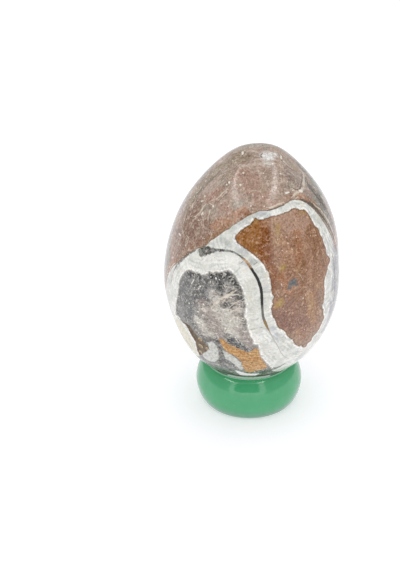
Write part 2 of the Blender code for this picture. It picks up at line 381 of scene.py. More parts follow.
# Blobs run from one place to another, with their radius in mm.
BLOBS = {
    # White flecks and hairs, and among them painted glints on crystals.
    "white_flecks_and_painted_glints": (
        (242.6, 151.6, 242.6, 154.2, 0.26), (281.2, 155.8, 281.2, 158.4, 0.24),
        (283.7, 161.4, 284.2, 161.8, 0.2), (272.5, 163.6, 272.6, 163.8, 0.2),
        (243.2, 172.7, 243.4, 173.1, 0.22), (280.5, 173.6, 280.9, 173.6, 0.2),
        (299.8, 190.6, 302, 191.2, 0.32), (286, 192.8, 288.8, 192.3, 0.22),
        (229.2, 182.8, 229.6, 182.8, 0.2), (226.2, 184.7, 226.6, 184.7, 0.2),
        (213, 206.5, 213.4, 206.5, 0.2), (205, 196.6, 205.2, 196.6, 0.17), (201.8, 201.4, 202, 201.4, 0.17),
        (194, 196.4, 194.4, 196.4, 0.17), (202.8, 212.5, 201.4, 215, 0.16),
        (180.6, 235.6, 178.9, 233.6, 0.18), (185.6, 245.1, 185.6, 245.5, 0.2), (172, 257.6, 172, 258, 0.2),
        (173, 252.6, 173, 253, 0.17), (215.8, 278.3, 216, 278.5, 0.22), (191.4, 283.8, 193.9, 279.7, 0.14),
        (200, 286.3, 200.3, 286.3, 0.2), (189, 303.3, 189.2, 303.5, 0.2),
        (203.3, 304.3, 203.5, 304.3, 0.22), (197.7, 311.7, 198, 311.7, 0.2), (226, 314, 226.3, 314, 0.2),
        (230.3, 320.7, 230.5, 320.7, 0.2), (237.3, 318, 237.5, 318.2, 0.2), (224.7, 328.7, 225, 328.7, 0.2),
        (237.3, 326.7, 237.5, 326.7, 0.2), (218, 337, 218.2, 337, 0.2), (281.1, 234.7, 281.2, 234.8, 0.14),
        (288, 243.3, 288.1, 243.4, 0.14), (283, 243.6, 283.1, 243.6, 0.12),
        (277.5, 239.7, 277.6, 239.7, 0.12), (286.7, 251.4, 286.8, 251.4, 0.12),
        (214.5, 246.5, 219.5, 254, 0.06), (221.5, 246, 217, 253.5, 0.06), (227, 247, 223, 254.5, 0.05),
        (206, 251, 206.4, 251.2, 0.14), (240, 184.4, 240.6, 185, 0.2), (229, 182, 229.2, 182.2, 0.26),
        (204.4, 196, 204.8, 196, 0.22), (201.2, 201, 202.2, 201, 0.2), (213, 206, 213.2, 206.2, 0.24),
        (206, 180, 205.4, 181.4, 0.16), (303, 298.6, 303.6, 298, 0.18), (281.4, 283.6, 282, 286, 0.1),
        (249.6, 253.4, 250.6, 254.2, 0.14), (262, 266.5, 262.8, 267.5, 0.18),
        (240, 254, 240.3, 254.2, 0.13), (233, 284, 234, 282, 0.1), (228, 292, 232, 289, 0.07),
        (238, 308, 240, 306, 0.1), (236, 339, 238.5, 342.5, 0.09), (231, 335, 233, 336.5, 0.08),
    ),
    "ochre_blobs": (
        (278.4, 226.5, 278.8, 232, 0.3), (282, 268.6, 283.4, 267.2, 0.66), (277.2, 305.6, 279, 305, 0.75),
        (280.2, 304, 281.4, 300.8, 0.7), (302, 212.6, 304.5, 213.2, 0.32), (219, 167.2, 220.5, 166.8, 0.3),
        (293, 167.6, 297, 169.6, 0.36), (311.6, 300, 312.4, 305, 0.2), (256, 221.4, 256, 223, 0.3),
    ),
    "slate_blobs": (
        (289.2, 287.6, 291, 284.4, 0.55), (291.4, 283.6, 293.8, 281.8, 0.78),
        (295.2, 282.6, 296.4, 285.4, 0.24), (237.3, 344, 237.4, 344.2, 0.24),
        (241.3, 348, 241.4, 348.2, 0.24),
    ),
    "nodules": (
        (200, 346.7, 200.2, 346.7, 0.6), (199.3, 340, 199.5, 340, 0.56), (206.7, 349.3, 206.9, 349.3, 0.46),
        (200, 352.5, 200.2, 352.5, 0.44),
    ),
}

# ------------------------ shapes


def direction(azimuth, elevation):
    """Unit vector of an azimuth and an elevation in degrees."""
    around, up = math.radians(azimuth), math.radians(elevation)
    return Vector((math.sin(around) * math.cos(up), -math.cos(around) * math.cos(up), math.sin(up)))


def egg_point(unit):
    """Where a point of the unit sphere lies on the egg, whose middle is at the origin."""
    swell = 1 + EGG_TAPER * unit.z + EGG_FULLNESS * unit.z**2
    radius = EGG_RADIUS * swell
    return Vector((radius * unit.x, radius * unit.y, EGG_LENGTH / 2 * unit.z))


def ground_flat(points, facing, depth):
    """Press the points that stand out past a plane softly back onto it."""
    reach = max(point.dot(facing) for point in points)
    plane = reach - FLAT_EDGE_SOFTNESS * math.log(math.expm1(depth / FLAT_EDGE_SOFTNESS))
    for point in points:
        past = (point.dot(facing) - plane) / FLAT_EDGE_SOFTNESS
        pressed = FLAT_EDGE_SOFTNESS * math.log1p(math.exp(past))
        point -= facing * pressed


def even_cube_corner(place):
    """A point of the cube, moved so that the cells are even once they are on the sphere."""
    return Vector(math.tan(part * math.pi / 4) for part in place)


def egg_stand():
    """How the upright egg is set down in the ring, leaning slightly to +X."""
    stand = Matrix.Translation((EGG_OFFSET_X, 0, EGG_BOTTOM_HEIGHT + EGG_LEAN_PIVOT))
    lean = Matrix.Rotation(EGG_LEAN, 4, "Y")
    pivot = Matrix.Translation((0, 0, EGG_LENGTH / 2 - EGG_LEAN_PIVOT))
    return stand @ lean @ pivot


def egg_mesh():
    """The egg as a fine net of quads, closer on its marked front."""
    bm = bmesh.new()
    bmesh.ops.create_cube(bm, size=2)
    bmesh.ops.subdivide_edges(bm, edges=bm.edges[:], cuts=CUBE_CUTS, use_grid_fill=True)
    fine_side = FINE_SIDE.normalized()
    for vertex in bm.verts:
        unit = even_cube_corner(vertex.co).normalized()
        vertex.co = egg_point((unit + FINE_SHARE * fine_side).normalized())
    points = [vertex.co for vertex in bm.verts]
    for azimuth, elevation, depth in EGG_FLATS:
        ground_flat(points, direction(azimuth, elevation), depth)
    bmesh.ops.transform(bm, matrix=egg_stand(), verts=bm.verts)
    return mesh_from("polished_stone", bm)


def bulge(width, start, end, steps):
    """Points of a half superellipse that bulges by width from the crest's radius."""
    half_height = (RING_HEIGHT + RING_FOOT_SLICE) / 2
    power = 2 / RING_BULGE_POWER
    points = []
    for step in range(steps + 1):
        angle = math.radians(start + (end - start) * step / steps)
        across = abs(math.cos(angle)) ** power
        up = math.copysign(abs(math.sin(angle)) ** power, math.sin(angle))
        height = half_height * (1 + up) - RING_FOOT_SLICE
        points.append((RING_CREST_RADIUS + width * across, height))
    return points


def ring_section():
    """The ring's closed section, from its outer foot over the crest to its inner foot."""
    half_height = (RING_HEIGHT + RING_FOOT_SLICE) / 2
    below = 1 - RING_FOOT_SLICE / half_height
    foot_angle = -math.degrees(math.asin(below ** (RING_BULGE_POWER / 2)))
    outer_width = RING_OUTER_RADIUS - RING_CREST_RADIUS
    inner_width = RING_HOLE_RADIUS - RING_CREST_RADIUS
    outer = bulge(outer_width, foot_angle, 90, OUTER_PROFILE_STEPS)
    inner = bulge(inner_width, 90, foot_angle, INNER_PROFILE_STEPS)
    return outer + inner[1:]


def ring_mesh():
    """The ring stand, its section swept round +Z."""
    bm = bmesh.new()
    section = [bm.verts.new((radius, 0, height)) for radius, height in ring_section()]
    edges = [bm.edges.new(pair) for pair in zip(section, section[1:] + section[:1])]
    bmesh.ops.spin(
        bm,
        geom=section + edges,
        cent=(0, 0, 0),
        axis=(0, 0, 1),
        angle=math.tau,
        steps=RING_SEGMENTS,
        use_merge=True,
    )
    return mesh_from("polished_ring", bm)


def mesh_from(name, bm):
    """A smooth-shaded mesh that faces outwards."""
    bmesh.ops.recalc_face_normals(bm, faces=bm.faces)
    mesh = bpy.data.meshes.new(name)
    bm.to_mesh(mesh)
    bm.free()
    mesh.shade_smooth()
    return mesh


def add_object(mesh, material):
    """Put a mesh in the scene with its material."""
    mesh.materials.append(material)
    thing = bpy.data.objects.new(mesh.name, mesh)
    bpy.context.scene.collection.objects.link(thing)
    return thing


# ------------------------ markings on the egg


class Surface:
    """The egg's surface, onto which the markings are cast."""

    def __init__(self, mesh):
        self.points = np.empty(len(mesh.vertices) * 3)
        mesh.vertices.foreach_get("co", self.points)
        self.points = self.points.reshape(-1, 3)
        places = [vertex.co for vertex in mesh.vertices]
        faces = [tuple(face.vertices) for face in mesh.polygons]
        self.tree = BVHTree.FromPolygons(places, faces)
        self.middle = Vector((EGG_OFFSET_X, 0, EGG_BOTTOM_HEIGHT + EGG_LENGTH / 2))

    def seen(self, across, down):
        """The place that the camera sees at a pixel, or the nearest place on the limb."""
        forward = Vector((0, math.cos(CAMERA_TILT), -math.sin(CAMERA_TILT)))
        up = Vector((0, math.sin(CAMERA_TILT), math.cos(CAMERA_TILT)))
        ray = forward * FOCAL_PIXELS
        ray += Vector((across - FRAME_WIDTH / 2, 0, 0))
        ray -= up * (down - FRAME_HEIGHT / 2)
        ray.normalize()
        place = self.tree.ray_cast(CAMERA_PLACE, ray)[0]
        if place is None:
            beside = CAMERA_PLACE + ray * (self.middle - CAMERA_PLACE).dot(ray)
            place = self.tree.find_nearest(beside)[0]
        return place

    def unseen(self, azimuth, height):
        """The place at an azimuth in degrees and a height in mm."""
        start = Vector((self.middle.x, self.middle.y, height * MM))
        return self.tree.ray_cast(start, direction(azimuth, 0))[0]

    def under(self, ray):
        """The place in a direction from the egg's middle."""
        return self.tree.ray_cast(self.middle, ray)[0]


def curve_through(before, start, end, after, share):
    """A point of the Catmull-Rom curve between start and end."""
    cube, square = share**3, share**2
    return 0.5 * (
        2 * start
        + (end - before) * share
        + (2 * before - 5 * start + 4 * end - after) * square
        + (3 * start - before - 3 * end + after) * cube
    )


class Path:
    """Fine points along a smooth line on the egg, with the way it runs and its half width."""

    def __init__(self, surface, places, widths=None, closed=True):
        self.points = []
        self.widths = []
        rays = [place - surface.middle for place in places]
        widths = widths or [0] * len(places)
        count = len(places)
        for index in range(count if closed else count - 1):
            numbers = [index - 1, index, index + 1, index + 2]
            if closed:
                numbers = [number % count for number in numbers]
            else:
                numbers = [min(max(number, 0), count - 1) for number in numbers]
            spread = (places[numbers[1]] - places[numbers[2]]).length
            steps = max(1, math.ceil(spread / PATH_STEP))
            for step in range(steps):
                share = step / steps
                ray = curve_through(*(rays[number] for number in numbers), share)
                self.points.append(surface.under(ray))
                width = widths[numbers[1]] * (1 - share) + widths[numbers[2]] * share
                self.widths.append(width * MM)
        self.points = np.array(self.points)
        if closed:
            ahead = np.roll(self.points, -1, axis=0) - np.roll(self.points, 1, axis=0)
        else:
            ahead = np.gradient(self.points, axis=0)
            self.widths[0] = self.widths[-1] = 0
        self.ahead = ahead / np.linalg.norm(ahead, axis=1, keepdims=True)
        outward = self.points - np.array(surface.middle)
        side = np.cross(self.ahead, outward)
        self.side = side / np.linalg.norm(side, axis=1, keepdims=True)
        gaps = np.linalg.norm(np.diff(self.points, axis=0), axis=1)
        self.along = np.concatenate(([0], np.cumsum(gaps)))
        if closed:
            self.face_outwards(outward)

    def face_outwards(self, outward):
        """Turn the sides so that they point out of the closed line."""
        shifted = self.points - self.points.mean(axis=0)
        turning = np.cross(shifted, np.roll(shifted, -1, axis=0)).sum(axis=0)
        if turning.dot(outward.mean(axis=0)) < 0:
            self.side = -self.side


class Reading:
    """Distance from every mesh point to the nearest of some paths, in mm."""

    def __init__(self, surface, paths):
        points = np.concatenate([path.points for path in paths])
        tree = KDTree(len(points))
        for index, point in enumerate(points):
            tree.insert(point, index)
        tree.balance()
        nearest = np.array([tree.find(point)[1] for point in surface.points])
        away = surface.points - points[nearest]
        ahead = np.concatenate([path.ahead for path in paths])[nearest]
        side = np.concatenate([path.side for path in paths])[nearest]
        slid = np.clip((away * ahead).sum(axis=1), -PATH_STEP, PATH_STEP)
        length = np.sqrt(np.maximum((away**2).sum(axis=1) - slid**2, 0))
        self.across = np.copysign(length, (away * side).sum(axis=1)) / MM
        self.width = np.concatenate([path.widths for path in paths])[nearest] / MM
        starts = np.cumsum([0] + [path.along[-1] for path in paths[:-1]])
        along = np.concatenate([path.along + start for path, start in zip(paths, starts)])
        self.along = (along[nearest] + slid) / MM


def outline(surface, seen=(), unseen=()):
    """A closed path through places that the camera sees and places that it doesn't."""
    places = [surface.seen(*place) for place in seen]
    places += [surface.unseen(*place) for place in unseen]
    return Path(surface, places)


def read_lines(surface, lines):
    """The reading of open paths through pixels, each with its half width in mm."""
    paths = []
    for line in lines:
        places = [surface.seen(across, down) for across, down, width in line]
        widths = [width for across, down, width in line]
        paths.append(Path(surface, places, widths, closed=False))
    return Reading(surface, paths)


def across_edge(surface, path):
    """Distance to a closed path in mm, less than zero inside it.

    A path that keeps to one side of the egg has nothing inside it on the other side.
    """
    across = Reading(surface, [path]).across
    middle = np.array(surface.middle)
    outwards = path.points - middle
    facing = outwards.mean(axis=0)
    if (outwards @ facing).min() > 0:
        behind = (surface.points - middle) @ facing < 0
        across[behind] = np.abs(across[behind])
    return across


def inside(surface, paths):
    """Distance to closed paths in mm, less than zero inside any of them."""
    return np.minimum.reduce([across_edge(surface, path) for path in paths])


def blobs(surface, capsules):
    """Distance to blobs in mm, less than zero inside any of them."""
    found = np.full(len(surface.points), np.inf)
    for start_across, start_down, end_across, end_down, radius in capsules:
        start = np.array(surface.seen(start_across, start_down))
        step = np.array(surface.seen(end_across, end_down)) - start
        share = (surface.points - start) @ step / max(step @ step, LEAST_SQUARE)
        nearest = start + np.clip(share, 0, 1)[:, None] * step
        distance = np.linalg.norm(surface.points - nearest, axis=1) / MM - radius
        found = np.minimum(found, distance)
    return found


def stone_markings(mesh):
    """Every marking's distance at every point of the egg's mesh, by name."""
    surface = Surface(mesh)
    white_mass = outline(surface, WHITE_MASS_SEEN, WHITE_MASS_UNSEEN)
    brown_chamber = outline(surface, BROWN_CHAMBER)
    grey_chamber = outline(surface, GREY_CHAMBER_SEEN, GREY_CHAMBER_UNSEEN)
    back_mass = outline(surface, unseen=BACK_MASS)
    back_chamber = outline(surface, unseen=BACK_CHAMBER)
    growth = Reading(surface, [brown_chamber, grey_chamber, back_chamber])
    seam = read_lines(surface, [SEAM])
    dark = read_lines(surface, DARK_LINES)
    pale = read_lines(surface, PALE_LINES)
    fields = {
        "white_mass": inside(surface, [white_mass, back_mass]),
        "brown_chamber": inside(surface, [brown_chamber, back_chamber]),
        "grey_chamber": inside(surface, [grey_chamber]),
        "growth_along": growth.along,
        "seam": seam.across,
        "seam_width": seam.width,
        "seam_along": seam.along,
        "dark_lines": dark.across,
        "dark_line_width": dark.width,
        "pale_lines": pale.across,
        "pale_line_width": pale.width,
    }
    for name, outlines in PATCHES.items():
        fields[name] = inside(surface, [outline(surface, seen) for seen in outlines])
    for name, capsules in BLOBS.items():
        fields[name] = blobs(surface, capsules)
    return fields


def shade_name(stone, number):
    """Name of the field of a soft patch."""
    return f"{stone}_shade_{number}"


def shade_fields(mesh):
    """The distance to each soft patch at every point of the egg's mesh, by name."""
    surface = Surface(mesh)
    fields = {}
    for stone, shades in SHADES.items():
        for number, (colour, *capsules) in enumerate(shades):
            fields[shade_name(stone, number)] = blobs(surface, capsules)
    return fields


def sink_relief(mesh, fields):
    """Press the crevice and the seam in a little, and all of it by a hair's breadth."""
    count = len(mesh.vertices)
    places = np.empty(count * 3)
    normals = np.empty(count * 3)
    mesh.vertices.foreach_get("co", places)
    mesh.vertices.foreach_get("normal", normals)
    hollow = np.clip(-fields["crevice"] / CREVICE_SLOPE, 0, 1)
    standing = np.clip(-fields["nodules"] / NODULE_SLOPE, 0, 1)
    half_width = np.maximum(fields["seam_width"], LEAST_DIVISOR)
    groove = np.clip(1 - np.abs(fields["seam"]) / half_width, 0, 1)
    depth = SKIN_DEPTH + CREVICE_DEPTH * hollow * (1 - standing) + SEAM_DEPTH * groove
    sunk = places.reshape(-1, 3) - depth[:, None] * normals.reshape(-1, 3)
    mesh.vertices.foreach_set("co", sunk.ravel())
    mesh.update()


def store_fields(mesh, fields):
    """Give the mesh each field as an attribute of its points."""
    for name, values in fields.items():
        attribute = mesh.attributes.new(name, "FLOAT", "POINT")
        attribute.data.foreach_set("value", values.astype(np.float32))


# ------------------------ shader helpers


def linear(value):
    """One channel of an 8-bit display colour as linear light."""
    share = value / 255
    return share / 12.92 if share <= 0.04045 else ((share + 0.055) / 1.055) ** 2.4


def paint(colour):
    """The base colour that shows as this 8-bit display colour under the studio light."""
    shown = (linear(value) - GLOSS_VEIL for value in colour)
    return tuple(max(DARKEST_LIGHT, light) for light in shown) + (1,)


class Shader:
    """Adds nodes to one tree. Each call gives the socket for the next one to read.

    A tuple of three is a display colour. The textures read the place in mm on the object.
    """

    def __init__(self, tree):
        self.tree = tree
        self.place = None

    def feed(self, socket, value):
        """Link a socket to another one, or set its value."""
        if isinstance(value, bpy.types.NodeSocket):
            self.tree.links.new(value, socket)
        else:
            socket.default_value = paint(value) if isinstance(value, tuple) else value

    def feed_all(self, node, values):
        """Feed a node's inputs by name or by number."""
        for key, value in values.items():
            self.feed(node.inputs[key], value)

    def node(self, kind, values=(), **settings):
        """A new node, its inputs fed by name or number, or in their order."""
        node = self.tree.nodes.new(kind)
        for name, value in settings.items():
            setattr(node, name, value)
        self.feed_all(node, values if isinstance(values, dict) else dict(enumerate(values)))
        return node

    def math(self, operation, first, second=0):
        return self.node("ShaderNodeMath", (first, second), operation=operation).outputs[0]

    def add(self, first, second):
        return self.math("ADD", first, second)

    def times(self, first, second):
        return self.math("MULTIPLY", first, second)

    def sway(self, noise, reach=1):
        """A noise about 0, with this reach from one side to the other."""
        centred = self.add(noise, -0.5)
        return centred if reach == 1 else self.times(centred, reach)

    def scaled(self, vector, factor):
        values = {0: vector, "Scale": factor}
        return self.node("ShaderNodeVectorMath", values, operation="SCALE").outputs[0]

    def moved(self, vector, push):
        return self.node("ShaderNodeVectorMath", (vector, push), operation="ADD").outputs[0]

    def split(self, vector):
        return self.node("ShaderNodeSeparateXYZ", (vector,)).outputs

    def height(self):
        """The height above the table in mm."""
        return self.split(self.place)[2]

    def field(self, name):
        return self.node("ShaderNodeAttribute", attribute_name=name).outputs["Fac"]

    def ramp(self, value, start, end, low=0, high=1):
        """Smooth change from low to high while value goes from start to end."""
        values = (value, start, end, low, high)
        node = self.node("ShaderNodeMapRange", values, interpolation_type="SMOOTHSTEP")
        return node.outputs[0]

    def layered(self, tint, *layers):
        """Lay colours over a tint, each given with how much of it shows.

        Where three numbers follow, the colour fades in as that value goes from the first
        to the second, up to a share of the third.
        """
        for colour, cover, *fade in layers:
            if fade:
                start, end, share = fade
                cover = self.ramp(cover, start, end, 0, share)
            values = {0: cover, 6: tint, 7: colour}
            tint = self.node("ShaderNodeMix", values, data_type="RGBA").outputs[2]
        return tint

    def wash(self, tint, colour, value, start, end, share=1):
        """Lay a colour over the tint, thicker as value goes from start to end."""
        return self.layered(tint, (colour, value, start, end, share))

    def noise(self, scale, detail=3, roughness=0.55, distortion=0, place=None):
        values = {
            "Vector": place or self.place,
            "Scale": scale,
            "Detail": detail,
            "Roughness": roughness,
            "Distortion": distortion,
        }
        return self.node("ShaderNodeTexNoise", values).outputs["Fac"]

    def cells(self, place, scale, feature="F1"):
        values = {"Vector": place, "Scale": scale}
        return self.node("ShaderNodeTexVoronoi", values, feature=feature).outputs

    def stretched(self, turn, lengths):
        """The place turned by degrees about X, Y and Z and squeezed, to make streaks."""
        turn = [math.radians(angle) for angle in turn]
        values = {"Vector": self.place, "Rotation": turn, "Scale": list(lengths)}
        return self.node("ShaderNodeMapping", values).outputs[0]

    def specks(self, scale, size, share):
        """1 in the middle of a share of the cells, 0 elsewhere."""
        cells = self.cells(self.place, scale)
        chosen = self.node("ShaderNodeSeparateColor", (cells["Color"],)).outputs[0]
        near = self.ramp(cells["Distance"], size, size * 0.4)
        return self.times(near, self.math("GREATER_THAN", chosen, 1 - share))

    def veinlets(self, scale, width, share):
        """Short bent lines: the borders of large cells where a noise lets them show."""
        bends = {"Vector": self.place, "Scale": scale * 1.6}
        push = self.scaled(self.node("ShaderNodeTexNoise", bends).outputs["Color"], 1.2 / scale)
        border = self.cells(self.moved(self.place, push), scale, "DISTANCE_TO_EDGE")["Distance"]
        shown = self.ramp(self.noise(scale * 1.3), 0.5, 0.58, 0, share)
        return self.times(self.ramp(border, width, width * 0.3), shown)

    def hairs(self, scale, width, share):
        """Thin curly lines, broken up by a second noise."""
        curl = self.math("ABSOLUTE", self.sway(self.noise(scale, 2, 0.5, 0.6)))
        shown = self.ramp(self.noise(scale * 1.7), 0.48, 0.58, 0, share)
        return self.times(self.ramp(curl, width, width * 0.3), shown)

    def grained(self, tint, scale, amount):
        """Fine light and dark grain of a tint, half of it grey."""
        grain = self.noise(scale, 2, 0.6)
        tint = self.scaled(tint, self.ramp(grain, 0.25, 0.75, 1 - amount / 2, 1 + amount / 2))
        return self.moved(tint, self.ramp(grain, 0.25, 0.75, -0.12 * amount, 0.12 * amount))

    def shaded(self, tint, stone, scale=0.8, raggedness=3):
        """A tint with its kind of stone's soft patches, ragged at their edges."""
        ragged = self.sway(self.noise(scale, 4, 0.6), raggedness)
        for number, (colour, *capsules) in enumerate(SHADES[stone]):
            distance = self.add(self.field(shade_name(stone, number)), ragged)
            tint = self.wash(tint, colour, distance, *SHADE_FADE)
        return tint


def new_material(name):
    """An empty material, its shader helper and its Principled node."""
    material = bpy.data.materials.new(name)
    material.use_nodes = True
    shader = Shader(material.node_tree)
    coordinates = shader.node("ShaderNodeTexCoord")
    shader.place = shader.scaled(coordinates.outputs["Object"], 1 / MM)
    return material, shader, material.node_tree.nodes["Principled BSDF"]


def fine_relief(shader, height, distance_mm):
    """The normal of a fine relief, from a height of 0 to 1."""
    values = {"Distance": distance_mm * MM, "Height": height}
    return shader.node("ShaderNodeBump", values).outputs["Normal"]


# ------------------------ the stone's finish


def matrix_colour(shader, rim_distance):
    """Mauve-brown limestone: soft clouds, veinlets, grit and tiny bits of shell."""
    clouds = shader.noise(0.2, 4, 0.6)
    low = shader.wash((150, 129, 117), (172, 143, 128), clouds, 0.4, 0.6)
    high = shader.wash((170, 150, 137), (187, 165, 152), clouds, 0.4, 0.6)
    tint = shader.wash(low, high, shader.height(), *PALE_TOP)
    # painted shade and grazing reflection round the limb
    tint = shader.shaded(tint, "matrix_limb_painted_shade", 0.3, 10)
    tint = shader.shaded(tint, "matrix")
    patches = shader.noise(0.5, 4, 0.6, 0.4)
    mottle = shader.noise(1.1, 4, 0.62)
    tint = shader.layered(
        tint,
        ((168, 156, 136), patches, 0.55, 0.65, 0.5),
        ((136, 117, 105), patches, 0.44, 0.34, 0.5),
        ((166, 130, 106), rim_distance, 2.6, 0.8, 0.4),
        ((200, 180, 167), mottle, 0.54, 0.72, 0.6),
        ((120, 103, 93), mottle, 0.46, 0.28, 0.55),
        ((214, 198, 184), shader.hairs(0.5, 0.045, 0.55)),
        ((214, 198, 182), shader.veinlets(0.3, 0.05, 0.5)),
        ((112, 97, 87), shader.veinlets(0.42, 0.05, 0.4)),
        ((240, 230, 218), shader.specks(0.75, 0.16, 0.3)),
        ((224, 208, 194), shader.specks(1.7, 0.22, 0.16)),
        ((104, 90, 80), shader.specks(1.5, 0.2, 0.2)),
    )
    return shader.grained(tint, 2.4, 0.34)


def calcite_colour(shader, growth, side):
    """White calcite: growth lines along the bands, fibres across them, cloudy patches.

    The side is less than zero round the grey chamber, where the calcite is the whitest.
    """
    clouds = shader.noise(0.4, 4, 0.6)
    white = shader.wash((211, 212, 205), (232, 232, 226), clouds, 0.38, 0.58)
    dull = shader.wash((202, 204, 197), (228, 228, 222), clouds, 0.38, 0.6)
    tint = shader.wash(white, dull, side, -0.8, 0.8)
    # painted shade along the right limb
    tint = shader.shaded(tint, "calcite_limb_painted_shade", 0.5, 5)
    tint = shader.shaded(tint, "calcite")
    along = shader.times(shader.field("growth_along"), 1.7)
    across_bands = (along, shader.times(growth, 0.3))
    fibre_place = shader.node("ShaderNodeCombineXYZ", across_bands).outputs[0]
    fibres = shader.noise(1, 4, 0.62, place=fibre_place)
    bent = shader.times(shader.noise(0.25, 2, 0.5), 1.6)
    rings = shader.math("SINE", shader.times(shader.add(growth, bent), 6.5))
    shown = shader.ramp(shader.noise(0.22, 1), 0.45, 0.6, 0.1, 1)
    shown = shader.times(shown, shader.ramp(growth, 8, 4, 0.25, 1))
    cream = shader.noise(0.7, 3, 0.5)
    tips = shader.times(shader.ramp(growth, 0.08, 0.2), shader.ramp(growth, 0.65, 0.35))
    tips = shader.times(tips, shader.ramp(shader.noise(1.2), 0.44, 0.55, 0, 0.9))
    tint = shader.layered(
        tint,
        ((172, 174, 166), fibres, 0.45, 0.3, 0.6),
        ((250, 249, 245), fibres, 0.55, 0.68, 0.6),
        ((178, 180, 172), shader.times(shader.ramp(rings, 0.5, 1, 0, 0.4), shown)),
        ((248, 247, 242), shader.times(shader.ramp(rings, -0.4, -1, 0, 0.4), shown)),
        ((222, 214, 194), cream, 0.57, 0.68, 0.45),
        ((180, 185, 184), cream, 0.43, 0.33, 0.4),
        ((254, 250, 246), tips),
        ((196, 180, 160), growth, 0.16, 0, 0.4),
        ((160, 160, 152), shader.specks(1.2, 0.16, 0.12)),
    )
    return shader.grained(tint, 2.6, 0.14)


def brown_chamber_colour(shader, depth):
    """Rust-brown fill: red-brown grain, rust and ochre stains, a dark skin at its edge."""
    clouds = shader.noise(0.25, 4, 0.6)
    tint = shader.wash((150, 117, 97), (167, 132, 110), clouds, 0.38, 0.62)
    tint = shader.shaded(tint, "brown")
    mottle = shader.noise(0.9, 4, 0.62)
    stains = shader.noise(0.5, 4, 0.6, 0.5)
    ragged = shader.sway(stains, 2.5)
    rust = shader.wash((155, 110, 72), (168, 122, 84), mottle, 0.35, 0.65)
    tint = shader.layered(
        tint,
        ((172, 130, 98), stains, 0.56, 0.68, 0.5),
        (rust, shader.add(shader.field("rust_zone"), ragged), 0.5, -0.6, 0.9),
        ((136, 90, 68), shader.add(shader.field("red_fringe"), ragged), 0.6, -0.5, 0.7),
        ((192, 156, 132), mottle, 0.54, 0.72, 0.5),
        ((118, 91, 76), mottle, 0.46, 0.28, 0.5),
        ((206, 171, 144), shader.hairs(0.55, 0.05, 0.55)),
        ((112, 84, 68), shader.hairs(0.9, 0.05, 0.4)),
        ((244, 226, 208), shader.specks(0.9, 0.15, 0.22)),
        ((212, 180, 154), shader.specks(1.8, 0.24, 0.2)),
        ((104, 76, 60), shader.specks(1.5, 0.22, 0.2)),
        ((112, 84, 60), depth, 0.34, 0.06, 0.8),
    )
    return shader.grained(tint, 2.4, 0.34)


def grey_chamber_colour(shader, depth):
    """Grey crystals, dark above and pale and fibrous below, full of bright glints."""
    clouds = shader.noise(0.4, 5, 0.65)
    dark = shader.wash((104, 103, 102), (138, 137, 134), clouds, 0.4, 0.6)
    light = shader.wash((147, 139, 131), (184, 178, 169), clouds, 0.4, 0.6)
    crystals = shader.noise(1.2, 4, 0.68, 0.8)
    pale = shader.add(shader.field("pale_crystals"), shader.times(crystals, 3))
    tint = shader.wash(dark, light, pale, 2.6, 0.6)
    tint = shader.shaded(tint, "grey")
    needles = shader.noise(0.8, 4, 0.62, place=shader.stretched((0, -38, 0), (0.25, 1, 1.6)))
    streaked = shader.ramp(pale, 3.4, 1.4)
    tint = shader.layered(
        tint,
        ((232, 226, 212), shader.times(shader.ramp(needles, 0.54, 0.68, 0, 0.8), streaked)),
        ((100, 93, 86), shader.times(shader.ramp(needles, 0.44, 0.3, 0, 0.75), streaked)),
        ((214, 211, 205), crystals, 0.55, 0.72, 0.75),
        ((66, 65, 64), crystals, 0.43, 0.28, 0.7),
        ((226, 220, 208), shader.hairs(0.8, 0.05, 0.55)),
        ((250, 247, 242), shader.specks(1.1, 0.2, 0.25)),
        ((206, 203, 197), shader.specks(1.9, 0.26, 0.25)),
        ((62, 60, 58), shader.specks(1.6, 0.24, 0.25)),
        ((196, 192, 184), depth, 0.45, 0.1, 0.45),
    )
    return shader.grained(tint, 2.6, 0.36)


def orange_colour(shader, mottle):
    """Ochre-orange crystals with slanting pale and brown streaks."""
    tint = shader.wash((156, 108, 62), (208, 166, 112), mottle, 0.35, 0.62)
    streaks = shader.noise(1, 4, 0.62, place=shader.stretched((0, 38, 0), (0.3, 1, 1.6)))
    tint = shader.layered(
        tint,
        ((160, 140, 112), shader.noise(0.7, 3, 0.6), 0.56, 0.68, 0.7),
        ((232, 206, 166), streaks, 0.55, 0.7, 0.7),
        ((140, 104, 68), streaks, 0.43, 0.3, 0.6),
        ((246, 228, 196), shader.specks(1.3, 0.24, 0.3)),
        ((136, 96, 60), shader.specks(1.6, 0.26, 0.3)),
    )
    return shader.grained(tint, 2.4, 0.25)


def seam_colour(shader):
    """The dark seam between the two bands, by the mm along it: grey, rusty, dark, grey, ochre."""
    mottle = shader.noise(1.3, 3, 0.6)
    start = shader.wash((84, 84, 84), (150, 150, 146), mottle, 0.4, 0.6)
    rusty = shader.wash((144, 104, 74), (198, 168, 134), mottle, 0.4, 0.6)
    along = shader.field("seam_along")
    return shader.layered(
        start,
        (rusty, along, 7.4, 8.6, 1),
        ((58, 58, 54), along, 10.4, 11.4, 1),
        ((116, 114, 108), along, 19.8, 21.5, 1),
        ((148, 126, 92), along, 23.8, 24.8, 1),
        ((182, 180, 170), along, 27, 28.5, 1),
    )


def seam_mask(shader):
    """1 on the seam, which frays a little at its edges."""
    width = shader.field("seam_width")
    frayed = shader.add(width, shader.sway(shader.noise(3, 2), 0.2))
    edge = shader.math("SUBTRACT", frayed, shader.math("ABSOLUTE", shader.field("seam")))
    return shader.times(shader.ramp(edge, -0.05, 0.07), shader.ramp(width, 0, 0.04))


